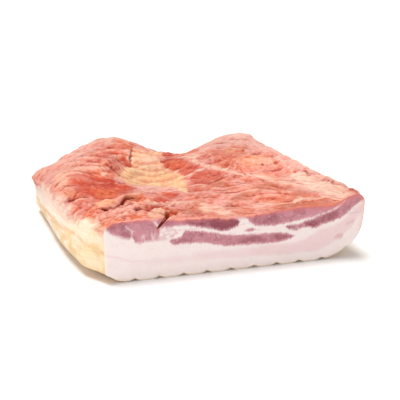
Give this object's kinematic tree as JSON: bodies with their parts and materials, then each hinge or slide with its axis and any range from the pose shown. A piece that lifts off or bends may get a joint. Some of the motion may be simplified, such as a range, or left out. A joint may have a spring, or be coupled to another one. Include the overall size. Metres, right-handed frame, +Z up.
{
  "type": "smoked bacon slab",
  "caption": "Thick slab of smoked pork belly lying on its scalloped rind, meat side up, with a fresh straight cut through streaked lean and fat at the front.",
  "frame": {"origin": "on the surface the slab lies on, under the middle of its bounding box", "axes": "+X along the fresh cut from its left end to its right end, +Y from the cut to the back edge, +Z up through the meat side"},
  "size_m": [0.3008, 0.2618, 0.0677],
  "materials": {
    "smoked_belly": "moist satin"
  },
  "bodies": {
    "root": {"bacon_slab": "smoked_belly"}
  },
  "joints": []
}
